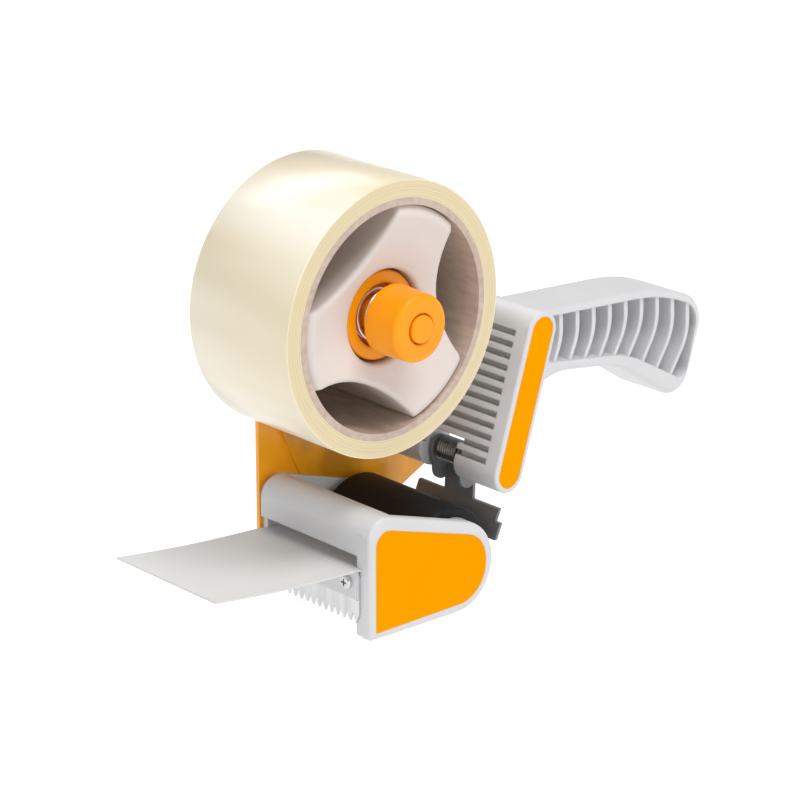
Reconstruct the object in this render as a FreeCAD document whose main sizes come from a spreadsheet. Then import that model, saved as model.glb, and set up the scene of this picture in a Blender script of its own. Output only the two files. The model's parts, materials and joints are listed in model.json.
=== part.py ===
import FreeCAD, Part
import math
import os
import re

import Sketcher

# A hand-held dispenser for 48 mm packing tape. The origin is on the spindle axis, in the outer flat
# face of the steel side frame. +X points to the rear, towards the hand, and +Z up. The whole object
# lies on the -Y side of the frame, so a distance called "depth" is measured from the frame's outer
# face towards the knob: y = -depth.

SIZES = {
    # side frame
    "plate_thick": 1.6,
    "plate_front": 14.5,
    "plate_ring": 34.0,
    "plate_rear": 74.0,
    "plate_waist": 20.0,
    "plate_foot_x": 64.4,
    "plate_foot_drop": 80.7,
    "plate_round": 10.0,
    "bead_height": 1.2,
    "bead_wall": 1.6,
    "bead_front": 7.0,
    "bead_rear": 48.5,
    "bead_top": 47.0,
    "bead_low": 79.0,
    "bead_low_front": 8.0,
    "bead_low_rear": 44.0,
    "bead_round": 4.0,
    "rivet_reach": 24.0,
    # tape, core and hub
    "tape_gap": 4.0,
    "tape_width": 48.0,
    "tape_od": 93.4,
    "core_od": 81.4,
    "core_id": 76.6,
    "core_clear": 0.2,
    "hub_tip": 35.0,
    "hub_dish": 5.0,
    "hub_back": 2.4,
    "hub_recess": 16.0,
    "hub_boss": 14.0,
    "hub_cavity": 21.0,
    "lobe_cut": 49.0,
    "lobe_centre": 72.0,
    "lobe_turn": 5.5,
    "lobe_round": 1.5,
    # spindle, brake and knob
    "spindle_radius": 6.0,
    "spindle_flange": 16.0,
    "flange_thick": 2.4,
    "thread_radius": 4.7,
    "spindle_end": 67.1,
    "thread_start": 46.0,
    "run_clear": 0.08,
    "face_gap": 0.3,
    "pad_thick": 1.3,
    "pad_radius": 13.5,
    "cup_radius": 15.1,
    "cup_mouth": 10.75,
    "cup_face": 46.9,
    "cup_depth": 4.7,
    "cup_floor": 2.0,
    "spring_wire": 1.3,
    "spring_radius": 8.65,
    "spring_turns": 5,
    "knob_radius": 11.7,
    "knob_taper": 0.25,
    "knob_back": 51.6,
    "knob_face": 66.1,
    "knob_hollow": 10.2,
    "knob_web": 6.1,
    "knob_hole": 5.2,
    "nut_radius": 7.5,
    "nut_thick": 4.0,
    "slip_thick": 1.0,
    # head
    "head_width": 58.6,
    "head_front": 16.0,
    "head_rear": 41.2,
    "head_top": 62.7,
    "head_slope": 0.331,
    "head_base_front": 108.0,
    "head_base": 110.2,
    "head_rear_round": 16.0,
    "head_front_round": 7.0,
    "panel_thick": 4.0,
    "cheek_thick": 2.4,
    "cheek_setback": 3.0,
    "post_front_thick": 6.4,
    "post_front_deep": 8.0,
    "hood_wall": 2.4,
    "hood_low": 79.0,
    "hood_rear": 3.0,
    "ledge_top": 84.5,
    "ledge_low": 96.0,
    "ledge_deep": 10.5,
    "head_edge": 1.4,
    "inlay_thick": 0.5,
    "inlay_recess": 0.6,
    "inlay_front": 2.8,
    "inlay_rim": 3.3,
    "inlay_top": 5.6,
    "inlay_slope": 0.3215,
    # roller
    "roller_x": 25.2,
    "roller_drop": 92.1,
    "roller_radius": 18.6,
    "rubber_thick": 3.5,
    "core_tube": 3.0,
    "roller_length": 46.0,
    "bush_length": 5.0,
    "axle_radius": 2.5,
    "washer_radius": 5.0,
    # blade and flap
    "blade_thick": 0.8,
    "blade_width": 49.0,
    "blade_top": 84.8,
    "blade_tip": 102.6,
    "tooth_pitch": 3.0625,
    "tooth_height": 3.6,
    "clamp_thick": 1.1,
    "clamp_top": 83.6,
    "clamp_low": 93.8,
    "blade_screw_span": 40.0,
    "blade_screw_drop": 88.0,
    "blade_screw_radius": 1.25,
    "blade_head_radius": 2.5,
    "blade_head_thick": 1.7,
    "blade_screw_length": 7.5,
    "flap_thick": 0.8,
    "flap_width": 50.0,
    "flap_length": 61.0,
    "flap_angle": 6.5,
    "flap_drop": 82.8,
    "flap_corner": 1.0,
    # handle
    "column_x": 48.8,
    "column_drop": 65.5,
    "column_length": 50.4,
    "column_radius": 6.75,
    "lean": 17.5,
    "label_rim": 1.8,
    "slat_count": 12,
    "slat_pitch": 4.1,
    "slat_gap": 2.0,
    "slat_depth": 3.0,
    "slat_start": 1.5,
    "slat_margin": 6.0,
    "column_edge": 0.8,
    "grip_width": 24.0,
    "grip_edge": 2.0,
    "grip_web": 3.0,
    "grip_start": 57.8,
    "grip_top": 17.0,
    "grip_bend": 142.0,
    "grip_bend_drop": 23.5,
    "grip_rear": 167.5,
    "grip_rear_drop": 33.6,
    "grip_tip": 155.35,
    "grip_tip_drop": 71.0,
    "grip_palm": 119.9,
    "grip_palm_drop": 47.8,
    "grip_neck": 90.0,
    "grip_neck_drop": 42.9,
    "grip_low": 52.5,
    "cavity_start": 74.0,
    "cavity_top": 20.4,
    "cavity_top_slope": 0.0824,
    "cavity_bend_drop": 26.0,
    "cavity_palm": 125.0,
    "cavity_palm_drop": 44.5,
    "cavity_rear": 163.2,
    "cavity_rear_drop": 35.5,
    "cavity_tip": 156.6,
    "cavity_tip_drop": 62.3,
    "rib_thick": 2.0,
    "rib_pitch": 8.3,
    "rib_first": 91.0,
    "rib_count": 9,
    # retainer
    "hinge_x": 50.0,
    "hinge_drop": 65.0,
    "pin_radius": 1.5,
    "pin_length": 27.0,
    "fork_gap": 17.0,
    "fork_height": 9.0,
    "ear_radius": 4.2,
    "ear_thick": 1.2,
    "ear_span": 14.0,
    "neck_x": 54.6,
    "neck_drop": 72.0,
    "knee_x": 54.0,
    "knee_drop": 82.0,
    "toe_x": 49.7,
    "toe_drop": 91.7,
    "shoulder_drop": 86.2,
    "sheet_thick": 1.2,
    "retainer_width": 45.0,
    "retainer_neck_width": 40.0,
    "coil_radius": 3.95,
    "coil_wire": 1.1,
    "coil_turns": 8,
    # countersunk screws
    "screw_radius": 2.0,
    "screw_head": 1.5,
    "screw_clear": 0.1,
    "press_clear": 0.02,
    "cross_reach": 1.9,
    "cross_half": 0.35,
    "cross_depth": 1.0,
    "screw_length": 12.0,
    "short_screw": 5.8,
}

doc = FreeCAD.newDocument("tape_gun_dispenser")
sheet = doc.addObject("Spreadsheet::Sheet", "Sizes")
for row, (alias, size) in enumerate(SIZES.items(), start=1):
    sheet.set("A%d" % row, alias)
    sheet.set("B%d" % row, str(size))
    sheet.setAlias("B%d" % row, alias)
doc.recompute()

# Depths of the stations that several pieces share, and places worked out from the sizes.
TAPE_FAR = "(plate_thick + tape_gap)"
TAPE_NEAR = "(plate_thick + tape_gap + tape_width)"
MIDDLE = "(plate_thick + tape_gap + tape_width / 2)"
FLANGE_FACE = "(plate_thick + flange_thick)"
HUB_RADIUS = "(core_id / 2 - core_clear)"
CUP_BOTTOM = "(cup_face - cup_depth - cup_floor)"
HUB_FLOOR = "(cup_face - cup_depth - cup_floor - face_gap)"
KNOB_INNER = "(knob_face - knob_web)"
PANEL_IN = "(head_width - panel_thick)"
CHEEK_IN = "(plate_thick + cheek_thick)"
ROLLER_Z = "-roller_drop"
AXLE_END = "(head_width - panel_thick / 3)"
BLADE_FACE = "(-head_front - blade_thick)"
CLAMP_FACE = "(-head_front - blade_thick - clamp_thick)"
HEAD_FACE = "(-head_front - blade_thick - clamp_thick - blade_head_thick)"
GRIP_FAR = "(plate_thick + tape_gap + tape_width / 2 - grip_width / 2)"
HEAD_SCREWS = [("-8.5", "-91"), ("5.5", "-103.6")]
HANDLE_SCREWS = [0.30, 0.62, 0.96]

COUNTERSINK = -44.0
WORD = re.compile(r"[a-z][a-z_]*\b(?!\()")
ALL_ROUND = 360.0
SEEN = 1e-4


def cells(expression):
    """Writes a size's name as the cell that holds it."""
    return WORD.sub(lambda m: "Sizes." + m.group(0) if m.group(0) in SIZES else m.group(0), str(expression))


def value(expression):
    return float(sheet.evalExpression(cells(expression)))


def bind(thing, prop, expression):
    thing.setExpression(prop, cells(expression))


def fail(message):
    raise RuntimeError(message)


# ---------------------------------------------------------------------------------------------
# Sketches
# ---------------------------------------------------------------------------------------------


def new_body(label, x="0", z="0"):
    body = doc.addObject("PartDesign::Body", label)
    body.Label = label
    body.AllowCompound = True
    bind(body, "Placement.Base.x", x)
    bind(body, "Placement.Base.z", z)
    return body


def new_sketch(body, name, role, offset="0"):
    """A sketch parallel to one of the body's own origin planes.

    On XZ_Plane its x and y are X and Z, and its normal points along depth. On YZ_Plane they are
    Y and Z, with the normal along +X, and on XY_Plane X and Y, with the normal along +Z.
    """
    sketch = body.newObject("Sketcher::SketchObject", name)
    planes = [feature for feature in body.Origin.OriginFeatures if feature.Role == role]
    sketch.AttachmentSupport = [(planes[0], "")]
    sketch.MapMode = "FlatFace"
    bind(sketch, "AttachmentOffset.Base.z", offset)
    return sketch


def fix(sketch, kind, place, expression):
    """Adds a dimension to the sketch and binds it to the sheet."""
    index = sketch.addConstraint(Sketcher.Constraint(kind, *place, value(expression)))
    sketch.setExpression("Constraints[%d]" % index, cells(expression))


def fix_point(sketch, curve, end, x, y):
    fix(sketch, "DistanceX", (curve, end), x)
    fix(sketch, "DistanceY", (curve, end), y)


def circle(sketch, x, y, radius):
    shape = Part.Circle(FreeCAD.Vector(value(x), value(y), 0), FreeCAD.Vector(0, 0, 1), value(radius))
    curve = sketch.addGeometry(shape, False)
    fix(sketch, "Radius", (curve,), radius)
    fix_point(sketch, curve, 3, x, y)


def outline(sketch, corners):
    """Draws a closed outline through corners (x, y) or (x, y, radius), rounded where one is given."""
    corners = [corner if len(corner) == 3 else corner + ("0",) for corner in corners]
    points = [FreeCAD.Vector(value(x), value(y), 0) for x, y, radius in corners]
    radii = [value(radius) for x, y, radius in corners]
    count = len(corners)
    cuts = []
    for i, point in enumerate(points):
        before = (points[i - 1] - point).normalize()
        after = (points[(i + 1) % count] - point).normalize()
        half = math.acos(max(-1.0, min(1.0, before * after))) / 2
        back = radii[i] / math.tan(half)
        centre = point + (before + after).normalize() * (radii[i] / math.sin(half)) if radii[i] else point
        cuts.append((point + before * back, point + after * back, centre))
    lines = []
    for i in range(count):
        line = Part.LineSegment(cuts[i][1], cuts[(i + 1) % count][0])
        lines.append(sketch.addGeometry(line, False))
    for i in range(count):
        join_corner(sketch, lines[i - 1], lines[i], corners[i], points[i], cuts[i])


def join_corner(sketch, before, after, corner, point, cut):
    x, y, radius = corner
    start, end, centre = cut
    if value(radius) == 0:
        sketch.addConstraint(Sketcher.Constraint("Coincident", before, 2, after, 1))
        fix_point(sketch, after, 1, x, y)
        return
    first = math.atan2(start.y - centre.y, start.x - centre.x)
    last = math.atan2(end.y - centre.y, end.x - centre.x)
    ends = (1, 2)
    if (start - centre).cross(end - centre).z < 0:
        first, last, ends = last, first, (2, 1)
    if last < first:
        last += 2 * math.pi
    round_circle = Part.Circle(centre, FreeCAD.Vector(0, 0, 1), value(radius))
    arc = sketch.addGeometry(Part.ArcOfCircle(round_circle, first, last), False)
    sketch.addConstraint(Sketcher.Constraint("Tangent", before, 2, arc, ends[0]))
    sketch.addConstraint(Sketcher.Constraint("Tangent", arc, ends[1], after, 1))
    fix(sketch, "Radius", (arc,), radius)
    mark = sketch.addGeometry(Part.Point(point), True)
    fix_point(sketch, mark, 1, x, y)
    sketch.addConstraint(Sketcher.Constraint("PointOnObject", mark, 1, before))
    sketch.addConstraint(Sketcher.Constraint("PointOnObject", mark, 1, after))


def capsule(sketch, low, high, radius):
    """Draws two half circles about the points low and high, joined by tangent lines."""
    start = FreeCAD.Vector(value(low[0]), value(low[1]), 0)
    end = FreeCAD.Vector(value(high[0]), value(high[1]), 0)
    along = (end - start).normalize()
    side = FreeCAD.Vector(-along.y, along.x, 0) * value(radius)
    turn = math.atan2(side.y, side.x)
    up = FreeCAD.Vector(0, 0, 1)
    low_arc = Part.ArcOfCircle(Part.Circle(start, up, value(radius)), turn, turn + math.pi)
    high_arc = Part.ArcOfCircle(Part.Circle(end, up, value(radius)), turn - math.pi, turn)
    low_curve = sketch.addGeometry(low_arc, False)
    high_curve = sketch.addGeometry(high_arc, False)
    left = sketch.addGeometry(Part.LineSegment(end + side, start + side), False)
    right = sketch.addGeometry(Part.LineSegment(start - side, end - side), False)
    sketch.addConstraint(Sketcher.Constraint("Tangent", high_curve, 2, left, 1))
    sketch.addConstraint(Sketcher.Constraint("Tangent", left, 2, low_curve, 1))
    sketch.addConstraint(Sketcher.Constraint("Tangent", low_curve, 2, right, 1))
    sketch.addConstraint(Sketcher.Constraint("Tangent", right, 2, high_curve, 1))
    fix(sketch, "Radius", (low_curve,), radius)
    fix_point(sketch, low_curve, 3, *low)
    fix_point(sketch, high_curve, 3, *high)


# ---------------------------------------------------------------------------------------------
# Features
# ---------------------------------------------------------------------------------------------


def volume(body):
    doc.recompute()
    failed = [item.Label for item in body.Group if "Invalid" in item.State or "Error" in item.State]
    if failed:
        fail("%s: %s" % (body.Label, ", ".join(failed)))
    return body.Shape.Volume


def pad(body, sketch, length):
    feature = body.newObject("PartDesign::Pad", sketch.Name + "_pad")
    feature.Profile = sketch
    bind(feature, "Length", length)
    volume(body)
    return feature


def pocket(body, sketch, depth):
    """Cuts from the sketch along its own normal."""
    full = volume(body)
    feature = body.newObject("PartDesign::Pocket", sketch.Name + "_pocket")
    feature.Profile = sketch
    feature.Reversed = True
    bind(feature, "Length", depth)
    if volume(body) >= full - SEEN:
        fail("%s in %s cuts nothing" % (sketch.Name, body.Label))
    return feature


def edges(body, test):
    doc.recompute()
    found = [i + 1 for i, edge in enumerate(body.Shape.Edges) if test(edge)]
    if not found:
        fail("no edge found on " + body.Label)
    return (body.Tip, ["Edge%d" % i for i in found])


def fillet(body, name, radius, test):
    base = edges(body, test)
    feature = body.newObject("PartDesign::Fillet", name)
    feature.Base = base
    bind(feature, "Radius", radius)
    volume(body)
    return feature


def chamfer(body, name, size, test):
    base = edges(body, test)
    feature = body.newObject("PartDesign::Chamfer", name)
    feature.Base = base
    bind(feature, "Size", size)
    volume(body)
    return feature


def extruded(label, name, corners, start, length):
    """A body padded along depth from an outline in X and Z."""
    body = new_body(label)
    add(body, name, corners, start, length)
    return body


def add(body, name, corners, start, length):
    sketch = new_sketch(body, body.Label + "_" + name, "XZ_Plane", start)
    outline(sketch, corners)
    return pad(body, sketch, length)


def cut(body, name, corners, start, depth):
    sketch = new_sketch(body, body.Label + "_" + name, "XZ_Plane", start)
    outline(sketch, corners)
    return pocket(body, sketch, depth)


def drill(body, name, centres, radius, start, depth):
    sketch = new_sketch(body, body.Label + "_" + name, "XZ_Plane", start)
    for x, z in centres:
        circle(sketch, x, z, radius)
    return pocket(body, sketch, depth)


def turned(label, profiles, x="0", z="0"):
    """A body turned about an axis along Y, from outlines in depth and radius."""
    body = new_body(label, x, z)
    for number, profile in enumerate(profiles, start=1):
        sketch = new_sketch(body, "%s_profile_%d" % (label, number), "YZ_Plane")
        outline(sketch, [("-(%s)" % corner[0],) + tuple(corner[1:]) for corner in profile])
        feature = body.newObject("PartDesign::Revolution", "%s_turn_%d" % (label, number))
        feature.Profile = sketch
        feature.ReferenceAxis = (sketch, ["H_Axis"])
        feature.Angle = ALL_ROUND
        volume(body)
    return body


def ring(start, end, inner, outer, rounding="0"):
    """The turned outline of a plain ring."""
    return [(start, inner), (start, outer, rounding), (end, outer, rounding), (end, inner)]


def box(x_low, z_low, x_high, z_high):
    return [(x_low, z_low), (x_high, z_low), (x_high, z_high), (x_low, z_high)]


def on_column(share, across="0"):
    """A point of the handle's leaning column: a share of its length up, and a distance to the rear."""
    x = "(column_x + (%s) * column_length * sin(lean) + (%s) * cos(lean))" % (share, across)
    z = "(-column_drop + (%s) * column_length * cos(lean) - (%s) * sin(lean))" % (share, across)
    return (x, z)


# ---------------------------------------------------------------------------------------------
# Side frame, spindle and its fasteners
# ---------------------------------------------------------------------------------------------


def bead_corners(inset):
    """The raised pillow in the side frame, drawn inwards by an inset."""
    return [
        ("-bead_front + (%s)" % inset, "-bead_top - (%s)" % inset, "bead_round"),
        ("bead_low_front + (%s)" % inset, "-bead_low + (%s)" % inset, "bead_round"),
        ("bead_low_rear - (%s)" % inset, "-bead_low + (%s)" % inset, "bead_round"),
        ("bead_rear - (%s)" % inset, "-bead_top - (%s)" % inset, "bead_round"),
    ]


def relieve_bead(body, label):
    """Hollows what stands against the side frame where the frame's bead rises into it."""
    cut(body, label + "_bead_relief", bead_corners("-face_gap"), "plate_thick", "bead_height + 0.1")


def panel_corners(front):
    top = "(-head_top - head_slope * (%s))"
    return [
        ("-(%s)" % front, "-head_base_front", "head_edge"),
        ("-(%s)" % front, top % ("head_front - (%s)" % front), "head_front_round"),
        ("head_rear", top % "head_front + head_rear", "head_rear_round"),
        ("head_rear", "-head_base", "head_rear_round"),
    ]


def frame_holes():
    return HEAD_SCREWS + [on_column(share) for share in HANDLE_SCREWS]


def make_side_frame():
    corners = [
        ("-plate_front", "-head_base_front", "head_edge"),
        ("-plate_front", "-plate_ring", "plate_round"),
        ("-plate_ring", "-plate_ring * 0.75", "plate_round"),
        ("-plate_ring", "plate_ring", "plate_ring - 2"),
        ("plate_ring", "plate_ring", "plate_ring - 2"),
        ("plate_ring", "-2", "plate_round"),
        ("plate_rear - 6", "-plate_waist", "plate_round"),
        ("plate_rear", "-plate_foot_drop + 9", "plate_round / 2"),
        ("plate_foot_x", "-plate_foot_drop", "plate_round / 4"),
        ("head_rear + 2", "-plate_foot_drop - plate_round", "plate_round / 2"),
        ("head_rear", "-head_base", "head_rear_round - 4"),
    ]
    body = extruded("side_frame", "sheet", corners, "0", "plate_thick")
    add(body, "bead", bead_corners("0"), "plate_thick", "bead_height")
    cut(body, "bead_back", bead_corners("bead_wall"), "0", "bead_height")
    drill(body, "screw_holes", frame_holes(), "screw_radius + screw_clear", "0", "plate_thick")
    drill(body, "axle_hole", [("roller_x", ROLLER_Z)], "axle_radius + press_clear", "0", "plate_thick")
    drill(body, "spindle_hole", [("0", "0")], "screw_radius + screw_clear", "0", "plate_thick")
    hole = value("screw_radius + screw_clear")

    def outer_rim(edge):
        if edge.Curve.TypeId != "Part::GeomCircle" or abs(edge.BoundBox.YMax) > SEEN:
            return False
        return abs(edge.Curve.Radius - hole) < SEEN

    chamfer(body, "countersinks", "screw_head - 0.1", outer_rim)
    return body


def countersunk(label, centres, reach):
    """Screws whose heads lie flush in the frame's outer face, all in one node."""
    body = new_body(label)
    for number, (x, z) in enumerate(centres, start=1):
        shank = new_sketch(body, "%s_shank_%d" % (label, number), "XZ_Plane", "0")
        circle(shank, x, z, "screw_radius")
        pad(body, shank, reach)
        head = new_sketch(body, "%s_head_%d" % (label, number), "XZ_Plane", "0")
        circle(head, x, z, "screw_radius + screw_head - 0.1")
        cone = pad(body, head, "screw_head - 0.15")
        cone.TaperAngle = COUNTERSINK
        volume(body)
        slots = new_sketch(body, "%s_cross_%d" % (label, number), "XZ_Plane", "0")
        outline(slots, cross_outline(x, z, "cross_reach", "cross_half"))
        pocket(body, slots, "cross_depth")
    return body


def cross_outline(x, y, reach, half):
    """A Phillips cross about a point."""
    steps = [(1, 2), (1, 1), (2, 1), (2, -1), (1, -1), (1, -2), (-1, -2), (-1, -1), (-2, -1), (-2, 1),
             (-1, 1), (-1, 2)]
    length = {1: half, 2: reach}
    corners = []
    for a, b in steps:
        across = "%s + %d * (%s)" % (x, 1 if a > 0 else -1, length[abs(a)])
        along = "%s + %d * (%s)" % (y, 1 if b > 0 else -1, length[abs(b)])
        corners.append((across, along))
    return corners


def make_spindle():
    profile = [
        ("plate_thick", "screw_radius + press_clear"),
        ("plate_thick", "spindle_flange", "0.5"),
        (FLANGE_FACE, "spindle_flange", "0.5"),
        (FLANGE_FACE, "spindle_radius"),
        ("thread_start", "spindle_radius", "0.4"),
        ("thread_start", "thread_radius"),
        ("spindle_end", "thread_radius", "0.8"),
        ("spindle_end", "0"),
        ("rivet_reach + 1", "0"),
        ("rivet_reach + 1", "screw_radius + press_clear"),
    ]
    return turned("spindle", [profile])


def make_spindle_rivet():
    profile = [
        ("0", "0"),
        ("0", "screw_radius + screw_head - 0.05"),
        ("screw_head - 0.05", "screw_radius"),
        ("rivet_reach", "screw_radius"),
        ("rivet_reach", "0"),
    ]
    return turned("spindle_rivet", [profile])


# ---------------------------------------------------------------------------------------------
# Tape, core, hub and the brake on the spindle
# ---------------------------------------------------------------------------------------------


def make_hub():
    profile = [
        (TAPE_FAR, "spindle_radius + run_clear"),
        (TAPE_FAR, "hub_boss"),
        (HUB_FLOOR + " - 3", "hub_boss", "2"),
        (HUB_FLOOR + " - 3", "hub_cavity", "2"),
        (TAPE_FAR, "hub_cavity"),
        (TAPE_FAR, HUB_RADIUS, "0.6"),
        (TAPE_NEAR + " - 1.2", HUB_RADIUS, "2"),
        (TAPE_NEAR, "hub_tip", "2"),
        (TAPE_NEAR + " - hub_dish", "hub_recess", "1.2"),
        (HUB_FLOOR, "hub_recess"),
        (HUB_FLOOR, "spindle_radius + run_clear"),
    ]
    body = turned("hub", [profile])
    sketch = new_sketch(body, "hub_lobe_cuts", "XZ_Plane", TAPE_FAR + " + hub_back")
    for number in range(3):
        angle = "(lobe_turn + %d)" % (120 * number)
        circle(sketch, "lobe_centre * cos%s" % angle, "lobe_centre * sin%s" % angle, "lobe_cut")
    pocket(body, sketch, "tape_width")
    back = -value(TAPE_NEAR + " - hub_dish")
    shortest = value("lobe_round") * 3
    turns = [math.radians(value("lobe_turn") + ALL_ROUND / 3 * number) for number in range(3)]
    reach = value("lobe_centre")
    centres = [(reach * math.cos(turn), reach * math.sin(turn)) for turn in turns]

    def lobe_rim(edge):
        middle = edge.valueAt((edge.FirstParameter + edge.LastParameter) / 2)
        distances = [math.hypot(middle.x - x, middle.z - z) for x, z in centres]
        on_cut = min(abs(distance - value("lobe_cut")) for distance in distances) < 0.01
        return on_cut and edge.BoundBox.YMax < back and edge.Length > shortest

    fillet(body, "hub_lobe_rounds", "lobe_round", lobe_rim)
    return body


def make_tape_core():
    return turned("tape_core", [ring(TAPE_FAR, TAPE_NEAR, "core_id / 2", "core_od / 2")])


def make_tape_roll():
    return turned("tape_roll", [ring(TAPE_FAR, TAPE_NEAR, "core_od / 2 + 0.01", "tape_od / 2", "0.25")])


def make_friction_pad():
    end = FLANGE_FACE + " + pad_thick"
    return turned("friction_pad", [ring(FLANGE_FACE, end, "spindle_radius + run_clear", "pad_radius")])


def make_cup_washer():
    mouth_floor = "(cup_face - cup_depth)"
    profile = [
        (CUP_BOTTOM, "spindle_radius + run_clear"),
        (CUP_BOTTOM, "cup_radius", "0.8"),
        ("cup_face", "cup_radius", "0.8"),
        ("cup_face", "cup_mouth", "0.6"),
        (mouth_floor, "cup_mouth", "0.6"),
        (mouth_floor, "spindle_radius + run_clear"),
    ]
    return turned("cup_washer", [profile])


def make_slip_washer():
    end = "(%s)" % KNOB_INNER
    start = end + " - slip_thick"
    return turned("slip_washer", [ring(start, end, "thread_radius + 0.1", "knob_hollow - face_gap")])


def make_knob():
    profile = [
        ("knob_back", "knob_hollow", "0.4"),
        ("knob_back", "knob_radius + knob_taper", "0.6"),
        ("knob_face", "knob_radius - knob_taper", "1.8"),
        ("knob_face", "knob_hole", "0.5"),
        (KNOB_INNER + " + nut_thick", "knob_hole"),
        (KNOB_INNER + " + nut_thick", "nut_radius"),
        (KNOB_INNER, "nut_radius"),
        (KNOB_INNER, "knob_hollow"),
    ]
    return turned("knob", [profile])


def make_knob_nut():
    end = KNOB_INNER + " + nut_thick"
    return turned("knob_nut", [ring(KNOB_INNER, end, "thread_radius + 0.05", "nut_radius - 0.02")])


def coil(label, radius, wire, turns, start, end, x="0", z="0"):
    """A wire wound about an axis along Y, between two depths, one turn after another."""
    pitch = (value(end) - value(start) - value(wire)) / value(turns)
    loops = []
    for number in range(round(value(turns))):
        loop = Part.makeHelix(pitch, pitch, value(radius))
        loop.translate(FreeCAD.Vector(0, 0, number * pitch))
        loops += loop.Edges
    first = FreeCAD.Vector(value(radius), 0, 0)
    along = FreeCAD.Vector(0, 2 * math.pi * value(radius), pitch)
    section = Part.Wire([Part.makeCircle(value(wire) / 2, first, along)])
    solid = Part.Wire(loops).makePipeShell([section], True, True)
    feature = doc.addObject("Part::Feature", label)
    feature.Label = label
    feature.Shape = solid
    turn = FreeCAD.Rotation(FreeCAD.Vector(1, 0, 0), 90)
    begin = -(value(start) + value(wire) / 2)
    feature.Placement = FreeCAD.Placement(FreeCAD.Vector(value(x), begin, value(z)), turn)
    return feature


# ---------------------------------------------------------------------------------------------
# Head with roller, blade and flap
# ---------------------------------------------------------------------------------------------


def make_head_housing():
    body = extruded("head_housing", "panel", panel_corners("head_front"), PANEL_IN, "panel_thick")
    front = "-head_front"
    top = "(-head_top - head_slope * (%s))"
    inner_front = "(-head_front + hood_wall)"
    rear = "(-hood_rear)"
    hood = [
        (front, "-hood_low", "0.6"),
        (front, top % "0", "head_front_round"),
        (rear, top % "head_front - hood_rear", "0.8"),
        (rear, top % "head_front - hood_rear" + " - hood_wall", "0.8"),
        (inner_front, top % "hood_wall" + " - hood_wall", "head_front_round - hood_wall"),
        (inner_front, "-hood_low", "0.6"),
    ]
    add(body, "hood", hood, CHEEK_IN, PANEL_IN + " - " + CHEEK_IN)
    ledge = box(front, "-ledge_low", "-head_front + ledge_deep", "-ledge_top")
    add(body, "ledge", ledge, CHEEK_IN, PANEL_IN + " - " + CHEEK_IN)
    add(body, "cheek", panel_corners("head_front - cheek_setback"), "plate_thick", "cheek_thick")
    post_top = top % "head_front / 2" + " - 5.5"
    upright = box(front, "-head_base_front + 1", "-head_front + post_front_deep", post_top)
    add(body, "upright", upright, "head_width - post_front_thick", "post_front_thick - panel_thick")
    boss = new_sketch(body, "head_housing_boss", "XZ_Plane", "plate_thick")
    circle(boss, HEAD_SCREWS[1][0], HEAD_SCREWS[1][1], "2 * screw_radius")
    pad(body, boss, MIDDLE + " - roller_length / 2 - face_gap - plate_thick")
    relieve_bead(body, "head")
    near = -value("head_width")

    def near_rim(edge):
        return abs(edge.BoundBox.YMin - near) < SEEN and abs(edge.BoundBox.YMax - near) < SEEN

    fillet(body, "head_rim", "head_edge", near_rim)
    cut(body, "inlay_seat", inlay_corners(), "head_width - inlay_recess", "inlay_recess")
    axle = [("roller_x", ROLLER_Z)]
    drill(body, "axle_hole", axle, "axle_radius + press_clear", "plate_thick", "cheek_thick")
    drill(body, "axle_seat", axle, "axle_radius + press_clear", PANEL_IN, AXLE_END + " - " + PANEL_IN)
    drill(body, "screw_bores", HEAD_SCREWS, "screw_radius + press_clear", "0", "short_screw")
    bores = new_sketch(body, "head_housing_blade_bores", "YZ_Plane", front)
    for side in (-1, 1):
        depth = "%s + %d * blade_screw_span / 2" % (MIDDLE, side)
        circle(bores, "-(%s)" % depth, "-blade_screw_drop", "blade_screw_radius + press_clear")
    pocket(body, bores, "blade_screw_length")
    return body


def inlay_corners():
    front = "(-head_front + inlay_front)"
    top = "(-head_top - inlay_top - inlay_slope * (%s))"
    rear = "(head_rear - inlay_rim)"
    return [
        (front, "-head_base_front + inlay_rim - 1", "0.5"),
        (front, top % "0", "5"),
        (rear, top % ("head_front - inlay_front + " + rear), "head_rear_round - inlay_rim - 0.6"),
        (rear, "-head_base + inlay_rim", "head_rear_round - inlay_rim - 0.6"),
    ]


def make_head_inlay():
    return extruded("head_inlay", "face", inlay_corners(), "head_width - inlay_recess", "inlay_thick")


def make_roller():
    start = "(%s - roller_length / 2)" % MIDDLE
    end = "(%s + roller_length / 2)" % MIDDLE
    wall = "(roller_radius - rubber_thick)"
    bore = "(roller_radius - rubber_thick - core_tube)"
    at = ("roller_x", ROLLER_Z)
    turned("roller_sleeve", [ring(start, end, wall, "roller_radius", "1")], *at)
    turned("roller_core", [ring(start, end, bore, wall + " - 0.01")], *at)
    hole = "axle_radius + run_clear"
    bushes = [
        ring(start, start + " + bush_length", hole, bore + " - 0.01"),
        ring(end + " - bush_length", end, hole, bore + " - 0.01"),
    ]
    turned("roller_bushes", bushes, *at)
    turned("roller_axle", [[("0", "0"), ("0", "axle_radius"), (AXLE_END + " - 0.2", "axle_radius", "0.4"),
                            (AXLE_END + " - 0.2", "0")]], *at)
    washers = [
        ring(CHEEK_IN, start + " - face_gap", "axle_radius + 0.05", "washer_radius"),
        ring(end + " + face_gap", PANEL_IN, "axle_radius + 0.05", "washer_radius"),
    ]
    turned("roller_washers", washers, *at)


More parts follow.
